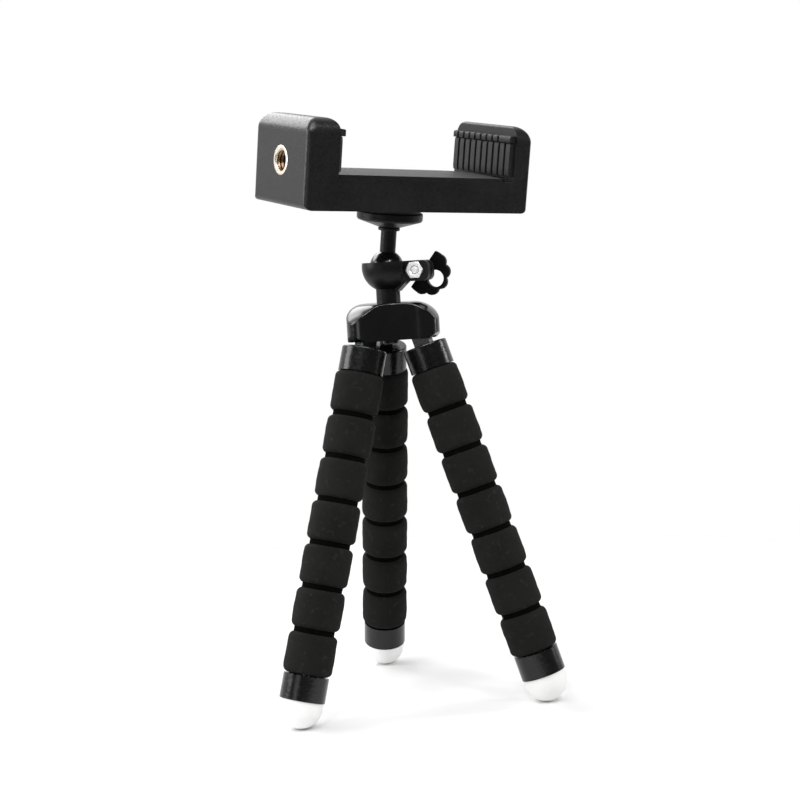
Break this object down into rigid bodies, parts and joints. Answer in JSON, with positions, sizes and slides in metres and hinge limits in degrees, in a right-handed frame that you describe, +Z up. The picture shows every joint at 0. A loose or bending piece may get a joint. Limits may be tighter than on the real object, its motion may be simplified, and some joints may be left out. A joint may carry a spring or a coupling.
{
  "type": "phone tripod",
  "caption": "Table tripod with bendable foam-covered legs, a small lockable ball head and a spring-loaded phone clip",
  "frame": {"origin": "the middle of the whole object's footprint, on the surface that the feet stand on", "axes": "+Z up; +X along the phone clip from its fixed jaw to its moving jaw; +Y to the back of the clip"},
  "size_m": [0.1026, 0.0992, 0.2072],
  "materials": {
    "gloss_black_plastic": "glossy black moulded plastic",
    "foam": "matt black closed-cell foam",
    "soft_steel": "soft annealed steel wire",
    "white_rubber": "smooth white rubber",
    "bright_steel": "bright nickel-plated steel",
    "black_steel": "blackened steel",
    "black_rubber": "soft black rubber",
    "black_plastic": "black moulded plastic with a fine satin grain",
    "cover_plastic": "dull black plastic with a fine leather-like grain",
    "brass": "turned brass"
  },
  "bodies": {
    "hub": {"hub_shell": "gloss_black_plastic", "hub_retainer_plate": "gloss_black_plastic", "leg_hinge_pins": "bright_steel", "hub_centre_screw": "black_steel", "ball_socket": "gloss_black_plastic", "hex_nut": "bright_steel"},
    "knob": {"clamp_bolt": "bright_steel", "clamp_knob": "gloss_black_plastic"},
    "ball": {"ball": "gloss_black_plastic"},
    "stem": {"stem": "gloss_black_plastic", "stem_lock_ring": "gloss_black_plastic"},
    "clip": {"platform": "gloss_black_plastic", "tripod_stud": "bright_steel", "platform_rubber_pad": "black_rubber", "clip_base": "black_plastic", "clip_cover_plate": "cover_plastic", "cover_screws": "bright_steel", "fixed_jaw_pad": "black_rubber", "end_thread_insert": "brass", "base_thread_insert": "brass", "clip_springs": "bright_steel"},
    "moving_jaw": {"moving_jaw": "black_plastic", "moving_jaw_pad": "black_rubber"},
    "leg_1_top": {"leg_1_collar": "gloss_black_plastic", "leg_1_foam_1": "foam", "leg_1_core_wire": "soft_steel"},
    "leg_1_segment_2": {"leg_1_foam_2": "foam"},
    "leg_1_segment_3": {"leg_1_foam_3": "foam"},
    "leg_1_segment_4": {"leg_1_foam_4": "foam"},
    "leg_1_segment_5": {"leg_1_foam_5": "foam"},
    "leg_1_segment_6": {"leg_1_foam_6": "foam"},
    "leg_1_end": {"leg_1_foam_7": "foam", "leg_1_ferrule": "gloss_black_plastic", "leg_1_foot": "white_rubber"},
    "leg_2_top": {"leg_2_collar": "gloss_black_plastic", "leg_2_foam_1": "foam", "leg_2_core_wire": "soft_steel"},
    "leg_2_segment_2": {"leg_2_foam_2": "foam"},
    "leg_2_segment_3": {"leg_2_foam_3": "foam"},
    "leg_2_segment_4": {"leg_2_foam_4": "foam"},
    "leg_2_segment_5": {"leg_2_foam_5": "foam"},
    "leg_2_segment_6": {"leg_2_foam_6": "foam"},
    "leg_2_end": {"leg_2_foam_7": "foam", "leg_2_ferrule": "gloss_black_plastic", "leg_2_foot": "white_rubber"},
    "leg_3_top": {"leg_3_collar": "gloss_black_plastic", "leg_3_foam_1": "foam", "leg_3_core_wire": "soft_steel"},
    "leg_3_segment_2": {"leg_3_foam_2": "foam"},
    "leg_3_segment_3": {"leg_3_foam_3": "foam"},
    "leg_3_segment_4": {"leg_3_foam_4": "foam"},
    "leg_3_segment_5": {"leg_3_foam_5": "foam"},
    "leg_3_segment_6": {"leg_3_foam_6": "foam"},
    "leg_3_end": {"leg_3_foam_7": "foam", "leg_3_ferrule": "gloss_black_plastic", "leg_3_foot": "white_rubber"}
  },
  "joints": [
    {"name": "knob_turn", "type": "hinge", "parent": "hub", "child": "knob", "pos_m": [0.01202, -0.01288, 0.15144], "axis": [-0.766, -0.6428, 0], "range_deg": [-20, 40]},
    {"name": "ball_tilt_forward", "type": "hinge", "parent": "hub", "child": "ball", "pos_m": [0.00482, -0.0043, 0.15294], "axis": [1, 0, 0], "range_deg": [-39.2, 20.8]},
    {"name": "ball_tilt_side", "type": "hinge", "parent": "ball", "child": "stem", "pos_m": [0.00482, -0.0043, 0.15294], "axis": [0, 0.9871, 0.1599], "range_deg": [-32.6, 27.4]},
    {"name": "head_swivel", "type": "hinge", "parent": "stem", "child": "clip", "pos_m": [0.0057, -0.00738, 0.17197], "axis": [0.0454, -0.1597, 0.9861], "continuous": true},
    {"name": "jaw_slide", "type": "slide", "parent": "clip", "child": "moving_jaw", "axis": [0.999, 0.0073, -0.0448], "range_m": [0, 0.022], "stiffness_N_per_m": 150, "springref_m": -0.02, "deforming": ["clip_springs"]},
    {"name": "leg_1_splay", "type": "hinge", "parent": "hub", "child": "leg_1_top", "pos_m": [-0.00542, -0.00611, 0.13074], "axis": [-0.1736, 0.9848, 0], "range_deg": [-17.6, 22.4]},
    {"name": "leg_1_bend_1", "type": "hinge", "parent": "leg_1_top", "child": "leg_1_segment_2", "pos_m": [-0.01418, -0.00765, 0.10272], "axis": [0.1736, -0.9848, 0], "range_deg": [-12, 12], "deforming": ["leg_1_core_wire"]},
    {"name": "leg_1_bend_2", "type": "hinge", "parent": "leg_1_segment_2", "child": "leg_1_segment_3", "pos_m": [-0.01861, -0.00843, 0.08852], "axis": [0.1736, -0.9848, 0], "range_deg": [-12, 12]},
    {"name": "leg_1_bend_3", "type": "hinge", "parent": "leg_1_segment_3", "child": "leg_1_segment_4", "pos_m": [-0.02305, -0.00921, 0.07431], "axis": [0.1736, -0.9848, 0], "range_deg": [-12, 12]},
    {"name": "leg_1_bend_4", "type": "hinge", "parent": "leg_1_segment_4", "child": "leg_1_segment_5", "pos_m": [-0.02749, -0.01, 0.06011], "axis": [0.1736, -0.9848, 0], "range_deg": [-12, 12]},
    {"name": "leg_1_bend_5", "type": "hinge", "parent": "leg_1_segment_5", "child": "leg_1_segment_6", "pos_m": [-0.03192, -0.01078, 0.04591], "axis": [0.1736, -0.9848, 0], "range_deg": [-12, 12]},
    {"name": "leg_1_bend_6", "type": "hinge", "parent": "leg_1_segment_6", "child": "leg_1_end", "pos_m": [-0.03636, -0.01156, 0.03171], "axis": [0.1736, -0.9848, 0], "range_deg": [-12, 12]},
    {"name": "leg_2_splay", "type": "hinge", "parent": "hub", "child": "leg_2_top", "pos_m": [0.0115, -0.01227, 0.13074], "axis": [-0.766, -0.6428, 0], "range_deg": [-17.6, 22.4]},
    {"name": "leg_2_bend_1", "type": "hinge", "parent": "leg_2_top", "child": "leg_2_segment_2", "pos_m": [0.01722, -0.01908, 0.10272], "axis": [0.766, 0.6428, 0], "range_deg": [-12, 12], "deforming": ["leg_2_core_wire"]},
    {"name": "leg_2_bend_2", "type": "hinge", "parent": "leg_2_segment_2", "child": "leg_2_segment_3", "pos_m": [0.02012, -0.02253, 0.08852], "axis": [0.766, 0.6428, 0], "range_deg": [-12, 12]},
    {"name": "leg_2_bend_3", "type": "hinge", "parent": "leg_2_segment_3", "child": "leg_2_segment_4", "pos_m": [0.02301, -0.02598, 0.07431], "axis": [0.766, 0.6428, 0], "range_deg": [-12, 12]},
    {"name": "leg_2_bend_4", "type": "hinge", "parent": "leg_2_segment_4", "child": "leg_2_segment_5", "pos_m": [0.02591, -0.02943, 0.06011], "axis": [0.766, 0.6428, 0], "range_deg": [-12, 12]},
    {"name": "leg_2_bend_5", "type": "hinge", "parent": "leg_2_segment_5", "child": "leg_2_segment_6", "pos_m": [0.0288, -0.03288, 0.04591], "axis": [0.766, 0.6428, 0], "range_deg": [-12, 12]},
    {"name": "leg_2_bend_6", "type": "hinge", "parent": "leg_2_segment_6", "child": "leg_2_end", "pos_m": [0.0317, -0.03633, 0.03171], "axis": [0.766, 0.6428, 0], "range_deg": [-12, 12]},
    {"name": "leg_3_splay", "type": "hinge", "parent": "hub", "child": "leg_3_top", "pos_m": [0.00838, 0.00547, 0.13074], "axis": [0.9397, -0.342, 0], "range_deg": [-17.6, 22.4]},
    {"name": "leg_3_bend_1", "type": "hinge", "parent": "leg_3_top", "child": "leg_3_segment_2", "pos_m": [0.01142, 0.01383, 0.10272], "axis": [-0.9397, 0.342, 0], "range_deg": [-12, 12], "deforming": ["leg_3_core_wire"]},
    {"name": "leg_3_bend_2", "type": "hinge", "parent": "leg_3_segment_2", "child": "leg_3_segment_3", "pos_m": [0.01296, 0.01806, 0.08852], "axis": [-0.9397, 0.342, 0], "range_deg": [-12, 12]},
    {"name": "leg_3_bend_3", "type": "hinge", "parent": "leg_3_segment_3", "child": "leg_3_segment_4", "pos_m": [0.0145, 0.02229, 0.07431], "axis": [-0.9397, 0.342, 0], "range_deg": [-12, 12]},
    {"name": "leg_3_bend_4", "type": "hinge", "parent": "leg_3_segment_4", "child": "leg_3_segment_5", "pos_m": [0.01604, 0.02653, 0.06011], "axis": [-0.9397, 0.342, 0], "range_deg": [-12, 12]},
    {"name": "leg_3_bend_5", "type": "hinge", "parent": "leg_3_segment_5", "child": "leg_3_segment_6", "pos_m": [0.01758, 0.03076, 0.04591], "axis": [-0.9397, 0.342, 0], "range_deg": [-12, 12]},
    {"name": "leg_3_bend_6", "type": "hinge", "parent": "leg_3_segment_6", "child": "leg_3_end", "pos_m": [0.01912, 0.03499, 0.03171], "axis": [-0.9397, 0.342, 0], "range_deg": [-12, 12]}
  ]
}
